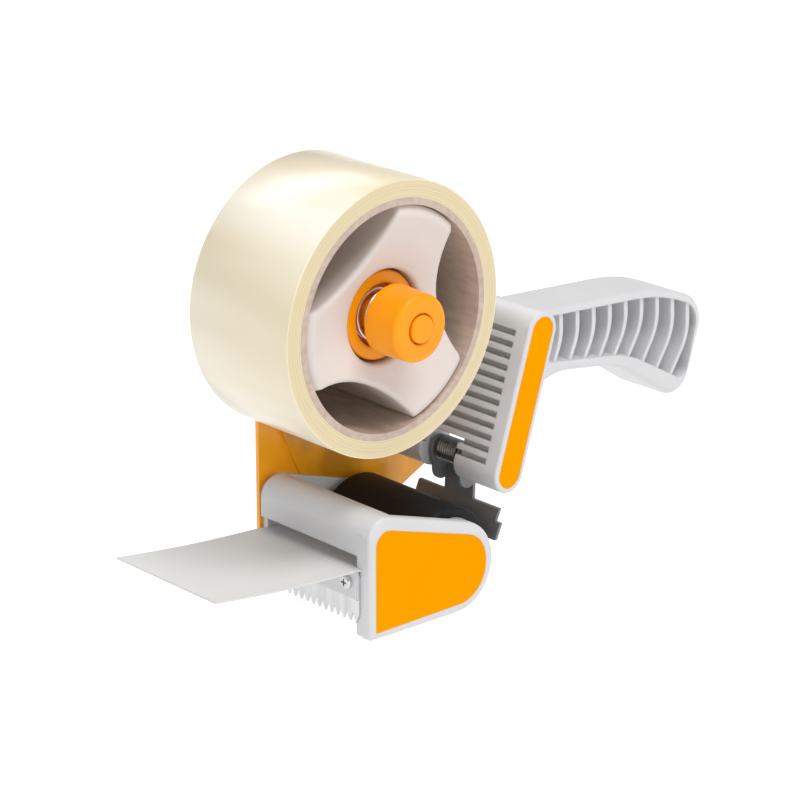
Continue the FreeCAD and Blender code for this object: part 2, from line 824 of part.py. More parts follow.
def make_blade():
    body = new_body("cutter_blade")
    sketch = new_sketch(body, "cutter_blade_outline", "YZ_Plane", BLADE_FACE)
    first = "(-(%s) - blade_width / 2)" % MIDDLE
    teeth = round(SIZES["blade_width"] / SIZES["tooth_pitch"])
    corners = [(first, "-blade_top", "1")]
    for number in range(teeth):
        root = "%s + %d * blade_width / %d" % (first, number, teeth)
        point = "%s + %.1f * blade_width / %d" % (first, number + 0.5, teeth)
        corners.append((root, "-blade_tip + tooth_height"))
        corners.append((point, "-blade_tip"))
    last = "%s + blade_width" % first
    corners += [(last, "-blade_tip + tooth_height"), (last, "-blade_top", "1")]
    outline(sketch, corners)
    pad(body, sketch, "blade_thick")
    pierce(body, "cutter_blade_holes", BLADE_FACE, "blade_thick")
    return body


def pierce(body, name, face, depth):
    """The two screw holes that the blade and the clamp strip share."""
    sketch = new_sketch(body, name, "YZ_Plane", face)
    for side in (-1, 1):
        across = "-(%s + %d * blade_screw_span / 2)" % (MIDDLE, side)
        circle(sketch, across, "-blade_screw_drop", "blade_screw_radius + screw_clear")
    pocket(body, sketch, depth)


def make_flap_clamp():
    corners = [
        (BLADE_FACE, "-clamp_low"),
        (CLAMP_FACE, "-clamp_low", "0.5"),
        (CLAMP_FACE, "-clamp_top", "0.4"),
        (BLADE_FACE, "-clamp_top"),
    ]
    body = extruded("flap_clamp", "strip", corners, MIDDLE + " - blade_width / 2", "blade_width")
    pierce(body, "flap_clamp_holes", CLAMP_FACE, "clamp_thick")
    return body


def make_blade_screws():
    body = new_body("blade_screws")
    for number, side in enumerate((-1, 1), start=1):
        across = "-(%s + %d * blade_screw_span / 2)" % (MIDDLE, side)
        head = new_sketch(body, "blade_screws_head_%d" % number, "YZ_Plane", HEAD_FACE)
        circle(head, across, "-blade_screw_drop", "blade_head_radius")
        pad(body, head, "blade_head_thick")
        shank = new_sketch(body, "blade_screws_shank_%d" % number, "YZ_Plane", CLAMP_FACE)
        circle(shank, across, "-blade_screw_drop", "blade_screw_radius")
        pad(body, shank, "blade_screw_length + blade_thick + clamp_thick - 0.5")
    face = value(HEAD_FACE)

    def head_rim(edge):
        return abs(edge.BoundBox.XMax - face) < SEEN

    fillet(body, "blade_screws_round", "0.8", head_rim)
    cross = new_sketch(body, "blade_screws_cross", "YZ_Plane", HEAD_FACE)
    for side in (-1, 1):
        across = "-(%s + %d * blade_screw_span / 2)" % (MIDDLE, side)
        outline(cross, cross_outline(across, "-blade_screw_drop", "0.7 * cross_reach", "0.9 * cross_half"))
    pocket(body, cross, "cross_depth")
    return body


def make_flap():
    """A flexible sheet that rises a little to the front from the clamp strip."""
    root_x = "(%s - face_gap)" % CLAMP_FACE
    tip_x = "(%s - flap_length * cos(flap_angle))" % root_x
    tip_z = "(-flap_drop + flap_length * sin(flap_angle))"
    corners = [
        (root_x, "-flap_drop"),
        (tip_x, tip_z),
        (tip_x + " - flap_thick * sin(flap_angle)", tip_z + " - flap_thick * cos(flap_angle)"),
        (root_x + " - flap_thick * sin(flap_angle)", "-flap_drop - flap_thick * cos(flap_angle)"),
    ]
    body = extruded("flap", "sheet", corners, MIDDLE + " - flap_width / 2", "flap_width")
    far_x = value(tip_x) + 1

    def tip_corner(edge):
        return edge.BoundBox.XMax < far_x and edge.BoundBox.YLength < SEEN

    fillet(body, "flap_corners", "flap_corner", tip_corner)
    return body


# ---------------------------------------------------------------------------------------------
# Handle and retainer
# ---------------------------------------------------------------------------------------------


def cavity_low(x):
    """The height of the grip pocket's lower edge, which bends at the palm."""
    front = "-cavity_palm_drop + 0.158 * (cavity_palm - (%s))" % x
    rear = "-cavity_palm_drop - 0.564 * ((%s) - cavity_palm)" % x
    return "min(%s; %s)" % (front, rear)


def cavity_high(x):
    """The height of the grip pocket's upper edge, which falls off behind the bend."""
    front = "-cavity_top - cavity_top_slope * ((%s) - cavity_start)" % x
    rear = "-cavity_bend_drop - 0.45 * ((%s) - grip_bend)" % x
    return "min(%s; %s)" % (front, rear)


def make_handle():
    grip = [
        ("grip_start", "-grip_top"),
        ("grip_bend", "-grip_bend_drop", "80"),
        ("grip_rear", "-grip_rear_drop", "12"),
        ("grip_tip", "-grip_tip_drop", "9"),
        ("grip_palm", "-grip_palm_drop", "50"),
        ("grip_neck", "-grip_neck_drop", "25"),
        ("grip_start", "-grip_low"),
    ]
    body = extruded("handle", "grip", grip, GRIP_FAR, "grip_width")
    far, near = -value(GRIP_FAR), -value(GRIP_FAR + " + grip_width")
    front = value("grip_start") + 1

    def grip_rim(edge):
        y_low, y_high = edge.BoundBox.YMin, edge.BoundBox.YMax
        flat = y_high - y_low < SEEN
        at_side = abs(y_low - far) < SEEN or abs(y_low - near) < SEEN
        return flat and at_side and edge.BoundBox.XMax > front

    fillet(body, "grip_round", "grip_edge", grip_rim)
    column = new_sketch(body, "handle_column", "XZ_Plane", "plate_thick")
    capsule(column, on_column("0"), on_column("1"), "column_radius")
    pad(body, column, "head_width - plate_thick")
    relieve_bead(body, "column")
    face = -value("head_width")

    def column_rim(edge):
        return abs(edge.BoundBox.YMin - face) < SEEN and edge.BoundBox.YLength < SEEN

    fillet(body, "column_round", "column_edge", column_rim)
    cavity = [
        ("cavity_start", cavity_high("cavity_start"), "2"),
        ("grip_bend", "-cavity_bend_drop", "80"),
        ("cavity_rear", "-cavity_rear_drop", "9"),
        ("cavity_tip", "-cavity_tip_drop", "4"),
        ("cavity_palm", "-cavity_palm_drop", "50"),
        ("cavity_start", cavity_low("cavity_start"), "2"),
    ]
    side_depth = "(grip_width - grip_web) / 2"
    sides = {"far": GRIP_FAR, "near": MIDDLE + " + grip_web / 2"}
    for side, start in sides.items():
        cut(body, "cavity_" + side, cavity, start, side_depth)
    ribs = new_sketch(body, "handle_ribs", "XZ_Plane", GRIP_FAR + " + 0.6")
    for number in range(SIZES["rib_count"]):
        outline(ribs, rib_corners(number))
    pad(body, ribs, "grip_width - 1.2")
    cut_slats(body)
    fork = box("column_x - 12", "-column_drop - 9", "column_x + 16", "-column_drop + fork_height")
    cut(body, "fork", fork, MIDDLE + " - fork_gap / 2", "fork_gap")
    drill(body, "pin_bore", [("hinge_x", "-hinge_drop")], "pin_radius + press_clear",
          MIDDLE + " - pin_length / 2", "pin_length")
    seat = new_sketch(body, "handle_label_seat", "XZ_Plane", "head_width - inlay_recess")
    capsule(seat, on_column("0"), on_column("1"), "column_radius - label_rim")
    pocket(body, seat, "inlay_recess")
    centres = [on_column(share) for share in HANDLE_SCREWS]
    drill(body, "screw_bores", centres, "screw_radius + press_clear", "0", "screw_length")
    return body


def rib_corners(number):
    top = "(rib_first + %d * rib_pitch)" % number
    low = "(rib_first + %d * rib_pitch - 3.2 - 0.7 * %d)" % (number, number)
    top_z = "(%s + 1.2)" % cavity_high(top)
    low_z = "(%s - 1.6)" % cavity_low(low)
    middle_z = "((%s + %s) / 2)" % (top_z, low_z)
    half = "rib_thick / 2"
    return [
        (top + " - " + half, top_z),
        (top + " + " + half, top_z),
        (top + " + 0.5 + " + half, middle_z, "20"),
        (low + " + " + half, low_z),
        (low + " - " + half, low_z),
        (top + " + 0.5 - " + half, middle_z, "18"),
    ]


def cut_slats(body):
    """Cross grooves in the column's front face."""
    sketch = new_sketch(body, "handle_slats", "XZ_Plane", "plate_thick + slat_margin")
    for number in range(SIZES["slat_count"]):
        low = "((slat_start + %d * slat_pitch) / column_length)" % number
        high = "((slat_start + %d * slat_pitch + slat_gap) / column_length)" % number
        outer = "-column_radius - 1"
        inner = "-column_radius + slat_depth"
        ends = [(low, outer), (low, inner), (high, inner), (high, outer)]
        outline(sketch, [on_column(share, side) for share, side in ends])
    pocket(body, sketch, "head_width - plate_thick - 2 * slat_margin")


def make_label_inlay():
    body = new_body("label_inlay")
    sketch = new_sketch(body, "label_inlay_face", "XZ_Plane", "head_width - inlay_recess")
    capsule(sketch, on_column("0"), on_column("1"), "column_radius - label_rim - 0.05")
    pad(body, sketch, "inlay_thick")
    return body


def make_retainer():
    """A sheet-metal tongue that hangs from the pin and holds the tape near the roller."""
    knee, toe = ("knee_x", "-knee_drop"), ("toe_x", "-toe_drop")
    neck = ("neck_x", "-neck_drop")
    body = new_body("retainer_plate")
    wide = [knee, (knee[0] + " - sheet_thick", knee[1]), (toe[0] + " - sheet_thick", toe[1]), toe]
    add(body, "tongue", wide, MIDDLE + " - retainer_width / 2", "retainer_width")
    narrow = [neck, (neck[0] + " - sheet_thick", neck[1]), (knee[0] + " - sheet_thick", knee[1] + " - 0.5"),
              (knee[0], knee[1] + " - 0.5")]
    add(body, "neck", narrow, MIDDLE + " - ear_span / 2", "ear_span")
    for side, start in (("far", "- ear_span / 2"), ("near", "+ ear_span / 2 - ear_thick")):
        ear = new_sketch(body, "retainer_ear_" + side, "XZ_Plane", MIDDLE + " " + start)
        capsule(ear, ("hinge_x + 0.9", "-hinge_drop - 8"), ("hinge_x", "-hinge_drop"), "ear_radius")
        pad(body, ear, "ear_thick")
    notch = "(retainer_width - retainer_neck_width) / 2"
    shoulder = box("toe_x - 5", "-shoulder_drop", "neck_x + 5", "-knee_drop + 2")
    cut(body, "notch_far", shoulder, MIDDLE + " - retainer_width / 2", notch)
    cut(body, "notch_near", shoulder, MIDDLE + " + retainer_neck_width / 2", notch)
    hinge = [("hinge_x", "-hinge_drop")]
    drill(body, "bore", hinge, "pin_radius + run_clear", MIDDLE + " - ear_span / 2", "ear_span")
    return body


def make_retainer_pin():
    end = MIDDLE + " + pin_length / 2"
    start = MIDDLE + " - pin_length / 2"
    profile = [(start, "0"), (start, "pin_radius"), (end, "pin_radius"), (end, "0")]
    return turned("retainer_pin", [profile], "hinge_x", "-hinge_drop")


# ---------------------------------------------------------------------------------------------
# The whole object
# ---------------------------------------------------------------------------------------------


def make_all():
    make_side_frame()
    make_spindle()
    make_spindle_rivet()
    make_friction_pad()
    make_hub()
    make_tape_core()
    make_tape_roll()
    make_cup_washer()
    spring_floor = "(cup_face - cup_depth)"
    spring_top = "(%s - slip_thick)" % KNOB_INNER
    coil("tension_spring", "spring_radius", "spring_wire", "spring_turns", spring_floor, spring_top)
    make_slip_washer()
    make_knob()
    make_knob_nut()
    make_head_housing()
    make_head_inlay()
    make_roller()
    make_blade()
    make_flap_clamp()
    make_blade_screws()
    make_flap()
    make_handle()
    make_label_inlay()
    make_retainer()
    make_retainer_pin()
    coil_start = MIDDLE + " - coil_turns * coil_wire / 2 - 0.5"
    coil_end = MIDDLE + " + coil_turns * coil_wire / 2 + 0.5"
    coil("torsion_spring", "coil_radius", "coil_wire", "coil_turns", coil_start, coil_end,
         "hinge_x", "-hinge_drop")
    countersunk("head_screws", HEAD_SCREWS, "short_screw - 0.2")
    countersunk("handle_screws", [on_column(share) for share in HANDLE_SCREWS], "screw_length - 0.2")


def write_parts():
    doc.recompute()
    broken = [item.Label for item in doc.Objects if "Invalid" in item.State or "Error" in item.State]
    if broken:
        fail("not computed: " + ", ".join(broken))
    nodes = [item for item in doc.Objects if item.TypeId == "PartDesign::Body"]
    nodes += [item for item in doc.Objects if item.TypeId == "Part::Feature" and not item.getParentGroup()]
    os.makedirs("parts", exist_ok=True)
    for node in nodes:
        shape = node.Shape
        if shape.isNull() or not shape.isValid() or shape.Volume <= 0:
            fail("bad shape: " + node.Label)
    for node in nodes:
        node.Shape.exportStep("parts/%s.step" % node.Label)
    print("%d nodes written" % len(nodes))


make_all()
write_parts()
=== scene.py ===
import json
import math

import bmesh
import bpy
from mathutils import Matrix, Vector


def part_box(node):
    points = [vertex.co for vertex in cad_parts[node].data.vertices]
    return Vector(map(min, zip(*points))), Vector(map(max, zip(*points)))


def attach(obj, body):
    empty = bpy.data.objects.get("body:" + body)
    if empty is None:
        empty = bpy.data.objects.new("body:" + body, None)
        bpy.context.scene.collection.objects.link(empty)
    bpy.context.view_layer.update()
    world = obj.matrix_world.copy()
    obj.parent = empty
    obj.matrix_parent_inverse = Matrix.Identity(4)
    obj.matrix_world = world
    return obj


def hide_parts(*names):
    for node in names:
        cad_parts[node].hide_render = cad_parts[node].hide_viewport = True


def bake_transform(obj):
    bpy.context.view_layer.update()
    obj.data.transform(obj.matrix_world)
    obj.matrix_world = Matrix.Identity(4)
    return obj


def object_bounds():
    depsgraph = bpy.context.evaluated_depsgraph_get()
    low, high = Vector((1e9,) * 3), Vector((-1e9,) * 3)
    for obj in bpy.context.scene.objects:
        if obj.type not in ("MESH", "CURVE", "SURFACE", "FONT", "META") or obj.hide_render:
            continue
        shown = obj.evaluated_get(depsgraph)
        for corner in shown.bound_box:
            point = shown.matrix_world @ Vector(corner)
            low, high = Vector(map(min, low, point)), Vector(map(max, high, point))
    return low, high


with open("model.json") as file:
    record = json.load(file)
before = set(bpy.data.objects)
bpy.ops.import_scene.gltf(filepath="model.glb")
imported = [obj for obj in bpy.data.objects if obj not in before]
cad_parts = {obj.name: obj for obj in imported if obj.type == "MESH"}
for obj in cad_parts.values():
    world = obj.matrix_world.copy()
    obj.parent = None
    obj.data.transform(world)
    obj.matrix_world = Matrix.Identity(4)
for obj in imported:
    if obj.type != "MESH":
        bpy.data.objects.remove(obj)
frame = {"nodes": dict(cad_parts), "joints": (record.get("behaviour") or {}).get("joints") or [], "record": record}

CAD_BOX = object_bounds()
MM = 0.001
OUTER_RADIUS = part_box("tape_roll")[1][2]

# The camera's place in metres, and two of its axes. Back points away from what it looks at.
CAMERA_PLACE = Vector((-0.6580, -0.7559, 0.32465))
CAMERA_BACK = Vector((-0.64325, -0.68418, 0.34368))
CAMERA_RIGHT = Vector((0.72856, -0.68497, 0.0))
CAMERA_LENS = 140.9

WHITE = (1.0, 1.0, 1.0, 1.0)
EVEN = (1.0, 1.0, 1.0)          # noise that is not stretched along any axis

# The colour sockets of a mix node, which share their names with the sockets of its other types.
MIX_FIRST, MIX_SECOND, MIX_RESULT = 6, 7, 2


# ---------------------------------------------------------------------------------------------
# Camera, floor and light
# ---------------------------------------------------------------------------------------------


def make_camera():
    """A long lens from the front, the knob side and a little above."""
    data = bpy.data.cameras.new("camera")
    data.sensor_width = 36.0
    data.lens = CAMERA_LENS
    data.clip_end = 20.0
    camera = bpy.data.objects.new("camera", data)
    up = CAMERA_BACK.cross(CAMERA_RIGHT)
    turn = Matrix((CAMERA_RIGHT, up, CAMERA_BACK)).transposed().to_4x4()
    camera.matrix_world = Matrix.Translation(CAMERA_PLACE) @ turn
    bpy.context.collection.objects.link(camera)
    bpy.context.scene.camera = camera


def area_light(name, place, aim, size, power):
    """A white rectangular lamp that faces a point."""
    data = bpy.data.lights.new(name, "AREA")
    data.shape = "RECTANGLE"
    data.size, data.size_y = size
    data.energy = power
    light = bpy.data.objects.new(name, data)
    light.location = place
    light.rotation_euler = (Vector(aim) - Vector(place)).to_track_quat("-Z", "Y").to_euler()
    bpy.context.collection.objects.link(light)


def make_light():
    """A large key lamp above, weak lamps from the front, the knob side and behind, and a pale world."""
    target = (0.03, -0.03, -0.03)
    area_light("key", (0.15, -0.75, 1.9), target, size=(1.2, 0.9), power=27.0)
    area_light("front_fill", (-1.5, -0.2, 0.9), target, size=(0.5, 1.2), power=4.4)
    area_light("side_fill", (-0.2, -1.6, 0.1), target, size=(1.2, 0.8), power=5.0)
    area_light("rim", (0.5, 1.2, 1.1), target, size=(1.2, 0.5), power=6.0)
    world = bpy.data.worlds.new("studio")
    world.use_nodes = True
    background = world.node_tree.nodes["Background"]
    background.inputs["Color"].default_value = WHITE
    background.inputs["Strength"].default_value = 0.42
    bpy.context.scene.world = world
    bpy.context.scene.view_settings.view_transform = "Standard"


def make_floor():
    """A wide sheet just under the object's lowest point, which gives off its own light."""
    mesh = bpy.data.meshes.new("floor")
    half = 6.0
    low = CAD_BOX[0][2] - 0.5 * MM
    corners = [(-half, -half, low), (half, -half, low), (half, half, low), (-half, half, low)]
    mesh.from_pydata(corners, [], [(0, 1, 2, 3)])
    floor = bpy.data.objects.new("floor", mesh)
    bpy.context.collection.objects.link(floor)
    look = Look("floor_pale", (0.25, 0.25, 0.25), roughness=0.9)
    look.set("Specular IOR Level", 0.0)
    look.set("Emission Color", WHITE)
    look.set("Emission Strength", 0.9)
    mesh.materials.append(look.material)


# ---------------------------------------------------------------------------------------------
# Materials
# ---------------------------------------------------------------------------------------------


class Look:
    """A principled material with helpers that add procedural detail in object coordinates."""

    def __init__(self, name, colour, roughness, metallic=0.0):
        self.material = bpy.data.materials.new(name)
        self.material.use_nodes = True
        self.tree = self.material.node_tree
        self.shader = self.tree.nodes["Principled BSDF"]
        self.colour = colour
        self.set("Base Color", (*colour, 1.0))
        self.set("Roughness", roughness)
        self.set("Metallic", metallic)
        self.where = self.node("ShaderNodeTexCoord").outputs["Object"]
        self.normal = None

    def set(self, socket, value):
        self.shader.inputs[socket].default_value = value

    def node(self, kind, **settings):
        made = self.tree.nodes.new(kind)
        for key, setting in settings.items():
            setattr(made, key, setting)
        return made

    def link(self, output, socket):
        self.tree.links.new(output, socket)

    def round_edges(self, radius):
        """Shades sharp edges as if they had a small radius."""
        bevel = self.node("ShaderNodeBevel", samples=6)
        bevel.inputs["Radius"].default_value = radius
        self.normal = bevel.outputs["Normal"]
        self.link(self.normal, self.shader.inputs["Normal"])

    def noise(self, scale, detail=3.0, stretch=EVEN):
        """Noise of a number of cells a metre, squeezed or stretched along the axes."""
        mapping = self.node("ShaderNodeMapping")
        mapping.inputs["Scale"].default_value = stretch
        self.link(self.where, mapping.inputs["Vector"])
        texture = self.node("ShaderNodeTexNoise")
        texture.inputs["Scale"].default_value = scale
        texture.inputs["Detail"].default_value = detail
        self.link(mapping.outputs["Vector"], texture.inputs["Vector"])
        return texture.outputs["Fac"]

    def line_noise(self, value, scale, detail):
        """Noise that depends on one number only, such as a radius."""
        texture = self.node("ShaderNodeTexNoise", noise_dimensions="1D")
        texture.inputs["Scale"].default_value = scale
        texture.inputs["Detail"].default_value = detail
        self.link(value, texture.inputs["W"])
        return texture.outputs["Fac"]

    def ramp(self, factor, low, high, colours):
        """Blends the first colour into the second as the factor goes from low to high."""
        ramp = self.node("ShaderNodeValToRGB")
        for element, place, colour in zip(ramp.color_ramp.elements, (low, high), colours):
            element.position = place
            element.color = (*colour, 1.0)
        self.link(factor, ramp.inputs["Fac"])
        return ramp.outputs["Color"]

    def mottle(self, scale, darkest, stretch=EVEN, low=0.35, high=0.65):
        """Varies the colour between a darker shade and the base colour."""
        dark = tuple(part * darkest for part in self.colour)
        spots = self.noise(scale, detail=4.0, stretch=stretch)
        colour = self.ramp(spots, low, high, (dark, self.colour))
        self.link(colour, self.shader.inputs["Base Color"])

    def gloss(self, scale, low, high, stretch=EVEN):
        """Varies the roughness between two values."""
        spread = self.node("ShaderNodeMapRange")
        spread.inputs["To Min"].default_value = low
        spread.inputs["To Max"].default_value = high
        self.link(self.noise(scale, detail=2.0, stretch=stretch), spread.inputs["Value"])
        self.link(spread.outputs["Result"], self.shader.inputs["Roughness"])

    def bump(self, height, strength, distance):
        """Adds a bump of a height field to those already there."""
        bump = self.node("ShaderNodeBump")
        bump.inputs["Strength"].default_value = strength
        bump.inputs["Distance"].default_value = distance
        self.link(height, bump.inputs["Height"])
        if self.normal is not None:
            self.link(self.normal, bump.inputs["Normal"])
        self.normal = bump.outputs["Normal"]
        self.link(self.normal, self.shader.inputs["Normal"])

    def grain(self, scale, strength, distance, detail=2.0, stretch=EVEN):
        """A bump of plain noise, such as a moulded or brushed surface has."""
        self.bump(self.noise(scale, detail, stretch), strength, distance)

    def coat(self, weight, roughness):
        """A clear layer over the colour."""
        self.set("Coat Weight", weight)
        self.set("Coat Roughness", roughness)

    def soften(self, weight, radius=None):
        """Lets light scatter under the surface, as far as the radius for red, green and blue."""
        self.set("Subsurface Weight", weight)
        if radius is not None:
            self.set("Subsurface Radius", radius)

    def calculate(self, operation, first, second=None):
        """The result of a sum on one or two outputs."""
        step = self.node("ShaderNodeMath", operation=operation)
        self.link(first, step.inputs[0])
        if second is not None:
            self.link(second, step.inputs[1])
        return step.outputs[0]

    def distance_from_spindle(self):
        """The distance from the spindle, which lies along Y through the origin."""
        split = self.node("ShaderNodeSeparateXYZ")
        self.link(self.where, split.inputs["Vector"])
        squares = [self.calculate("MULTIPLY", split.outputs[axis], split.outputs[axis]) for axis in "XZ"]
        return self.calculate("SQRT", self.calculate("ADD", *squares))


def housing_plastic():
    look = Look("housing_plastic", (0.66, 0.66, 0.67), roughness=0.42)
    look.round_edges(0.9 * MM)
    look.mottle(scale=60, darkest=0.97)
    look.gloss(scale=900, low=0.36, high=0.48)
    look.grain(scale=2600, strength=0.10, distance=0.03 * MM)
    return look.material


def orange_paint():
    """Gloss paint on thin pressed steel, whose slight dents break up the reflections. Its colour also carries
    painted reflections and painted shade, as dark blotches down to six tenths of the orange.
    """
    look = Look("orange_paint", (1.0, 0.40, 0.001), roughness=0.30)
    look.round_edges(0.4 * MM)
    # Painted reflection and shade: large dark blotches in the colour stand for the broken reflections on the
    # dented plate.
    look.mottle(scale=34, darkest=0.60, stretch=(1.0, 1.0, 0.7), low=0.40, high=0.56)
    look.coat(weight=0.25, roughness=0.10)
    look.grain(scale=75, strength=0.5, distance=1.2 * MM, detail=3.0)
    return look.material


def orange_plastic():
    look = Look("orange_plastic", (1.0, 0.345, 0.0), roughness=0.36)
    look.round_edges(0.7 * MM)
    look.mottle(scale=90, darkest=0.96)
    look.set("Specular IOR Level", 0.3)
    look.soften(weight=0.08, radius=(3.0 * MM, 1.2 * MM, 0.3 * MM))
    look.grain(scale=1800, strength=0.08, distance=0.03 * MM)
    return look.material


def orange_inlay():
    look = Look("orange_inlay", (0.98, 0.33, 0.0), roughness=0.60)
    look.set("Specular IOR Level", 0.0)
    look.mottle(scale=50, darkest=0.98)
    look.grain(scale=3000, strength=0.06, distance=0.02 * MM)
    return look.material


def hub_plastic():
    look = Look("hub_plastic", (0.71, 0.64, 0.60), roughness=0.52)
    look.round_edges(1.8 * MM)
    look.mottle(scale=45, darkest=0.96)
    look.grain(scale=2200, strength=0.08, distance=0.03 * MM)
    return look.material


def core_board():
    """Dull card, with fibres wound round the core."""
    look = Look("core_board", (0.60, 0.47, 0.39), roughness=0.85)
    look.mottle(scale=420, darkest=0.82, stretch=(1.0, 0.25, 1.0))
    look.grain(scale=1500, strength=0.35, distance=0.1 * MM, detail=5.0)
    return look.material


def tape_film():
    """Wound film: a glossy pale skin outside with painted highlight bands, and fine yellower rings of cut edges on
    the faces.
    """
    look = Look("tape_film", (0.90, 0.86, 0.74), roughness=0.30)
    radius = look.distance_from_spindle()
    rings = look.line_noise(radius, scale=2600, detail=3.0)
    edges = look.ramp(rings, 0.3, 0.7, ((0.62, 0.50, 0.28), (0.80, 0.70, 0.46)))
    # Painted highlight: soft lighter and darker bands in the skin's colour stand for the reflections on the glossy
    # roll.
    highlight_bands = look.noise(30, detail=1.5, stretch=(1.0, 0.15, 1.0))
    skin = look.ramp(highlight_bands, 0.36, 0.62, ((0.80, 0.70, 0.50), (0.94, 0.89, 0.77)))
    outside = look.node("ShaderNodeMapRange")
    outside.inputs["From Min"].default_value = OUTER_RADIUS - 0.5 * MM
    outside.inputs["From Max"].default_value = OUTER_RADIUS - 0.1 * MM
    look.link(radius, outside.inputs["Value"])
    mix = look.node("ShaderNodeMix", data_type="RGBA")
    look.link(outside.outputs["Result"], mix.inputs["Factor"])
    look.link(edges, mix.inputs[MIX_FIRST])
    look.link(skin, mix.inputs[MIX_SECOND])
    look.link(mix.outputs[MIX_RESULT], look.shader.inputs["Base Color"])
    look.soften(weight=0.3, radius=(6.0 * MM, 5.0 * MM, 3.0 * MM))
    look.coat(weight=0.4, roughness=0.22)
    look.bump(rings, strength=0.15, distance=0.08 * MM)
    look.grain(scale=45, strength=0.12, distance=0.6 * MM, detail=1.0, stretch=(1.0, 0.1, 1.0))
    return look.material


def roller_rubber():
    look = Look("roller_rubber", (0.009, 0.0095, 0.011), roughness=0.5)
    look.set("Specular IOR Level", 0.2)
    look.gloss(scale=700, low=0.42, high=0.58)
    look.grain(scale=1600, strength=0.15, distance=0.06 * MM, detail=3.0)
    return look.material


def metal(name, colour, low, high, stretch=EVEN):
    """Bare metal whose roughness varies between low and high."""
    look = Look(name, colour, roughness=(low + high) / 2, metallic=1.0)
    look.mottle(scale=300, darkest=0.86, stretch=stretch)
    look.gloss(scale=900, low=low, high=high, stretch=stretch)
    look.grain(scale=2400, strength=0.08, distance=0.02 * MM, stretch=stretch)
    return look.material


def dark_steel():
    """Pressed sheet with a dull grey phosphate finish."""
    look = Look("dark_steel", (0.23, 0.232, 0.24), roughness=0.5, metallic=0.15)
    look.round_edges(0.3 * MM)
    look.mottle(scale=220, darkest=0.82, stretch=(1.0, 0.2, 1.0))
    look.gloss(scale=700, low=0.44, high=0.58)
    look.grain(scale=2000, strength=0.10, distance=0.03 * MM)
    return look.material


def matte(name, colour, roughness, scale, depth):
    """A dull surface with spots of one size and grain six times finer."""
    look = Look(name, colour, roughness)
    look.mottle(scale=scale, darkest=0.9)
    look.grain(scale=scale * 6, strength=0.2, distance=depth, detail=3.0)
    return look.material


def flap_plastic():
    look = Look("flap_plastic", (0.66, 0.66, 0.66), roughness=0.55)
    look.mottle(scale=22, darkest=0.95)
    look.grain(scale=1500, strength=0.06, distance=0.03 * MM)
    look.soften(weight=0.05)
    return look.material


def make_materials():
    """The materials by the name of the record's slot."""
    brushed = (1.0, 1.0, 0.08)
    return {
        "frame_paint": orange_paint(),
        "housing_plastic": housing_plastic(),
        "orange_plastic": orange_plastic(),
        "orange_inlay": orange_inlay(),
        "hub_plastic": hub_plastic(),
        "core_board": core_board(),
        "tape_film": tape_film(),
        "roller_rubber": roller_rubber(),
        "bush_plastic": matte("bush_plastic", (0.60, 0.60, 0.58), roughness=0.5, scale=80, depth=0.04 * MM),
        "bright_steel": metal("bright_steel", (0.72, 0.72, 0.73), low=0.22, high=0.38, stretch=brushed),
        "spring_steel": metal("spring_steel", (0.92, 0.92, 0.93), low=0.26, high=0.36),
        "dark_steel": dark_steel(),
        "tempered_steel": metal("tempered_steel", (0.30, 0.30, 0.31), low=0.22, high=0.36),
        "brass": metal("brass", (0.72, 0.48, 0.18), low=0.22, high=0.36),
        "felt": matte("felt", (0.09, 0.08, 0.075), roughness=0.95, scale=900, depth=0.3 * MM),
        "flap_plastic": flap_plastic(),
    }


def paint_cad(materials):
    """Gives each CAD node the material of its slot in the record."""
    slots = {part["node"]: part["material_slot"] for part in frame["record"]["subparts"]}
    for name, thing in frame["nodes"].items():
        for slot in thing.material_slots:
            slot.material = materials[slots[name]]


# ---------------------------------------------------------------------------------------------
# Pieces that stand for CAD nodes
# ---------------------------------------------------------------------------------------------


def add_mesh(name, points, faces, material, sharp=math.radians(35)):
    """A smooth-shaded mesh whose edges over the given angle stay sharp."""
    mesh = bpy.data.meshes.new(name)
    mesh.from_pydata(points, [], faces)
    shape = bmesh.new()
    shape.from_mesh(mesh)
    bmesh.ops.recalc_face_normals(shape, faces=shape.faces)
    for face in shape.faces:
        face.smooth = True
    for edge in shape.edges:
        edge.smooth = edge.calc_face_angle(0.0) < sharp
    shape.to_mesh(mesh)
    shape.free()
    mesh.materials.append(material)
    piece = bpy.data.objects.new(name, mesh)
    bpy.context.collection.objects.link(piece)
    return piece


def ring_faces(rings, across, joined=True):
    """Quads between neighbouring closed rings of points, and from the last ring to the first if joined."""
    faces = []
    for ring in range(rings if joined else rings - 1):
        for step in range(across):
            here, beside = ring * across, ((ring + 1) % rings) * across
            after = (step + 1) % across
            faces.append((here + step, beside + step, beside + after, here + after))
    return faces


def turned(name, profile, segments, material):
    """A closed profile of (radius, y) points turned about the spindle's axis."""
    points = []
    for step in range(segments):
        angle = 2 * math.pi * step / segments
        for radius, y in profile:
            points.append((radius * math.cos(angle), y, radius * math.sin(angle)))
    return add_mesh(name, points, ring_faces(segments, len(profile)), material)


def wire(name, path, radius, material, sides=14):
    """A round wire along a path of points, with flat ends."""
    path = [Vector(point) for point in path]
    points = []
    side = None
    for number, centre in enumerate(path):
        along = (path[min(number + 1, len(path) - 1)] - path[max(number - 1, 0)]).normalized()
        if side is None:
            side = along.orthogonal()
        side = (side - along * side.dot(along)).normalized()
        other = along.cross(side)
        for step in range(sides):
            angle = 2 * math.pi * step / sides
            points.append(centre + radius * (side * math.cos(angle) + other * math.sin(angle)))
    faces = ring_faces(len(path), sides, joined=False)
    faces.append(tuple(range(sides)))
    faces.append(tuple(range(len(points) - sides, len(points))))
    return add_mesh(name, points, faces, material, math.radians(50))


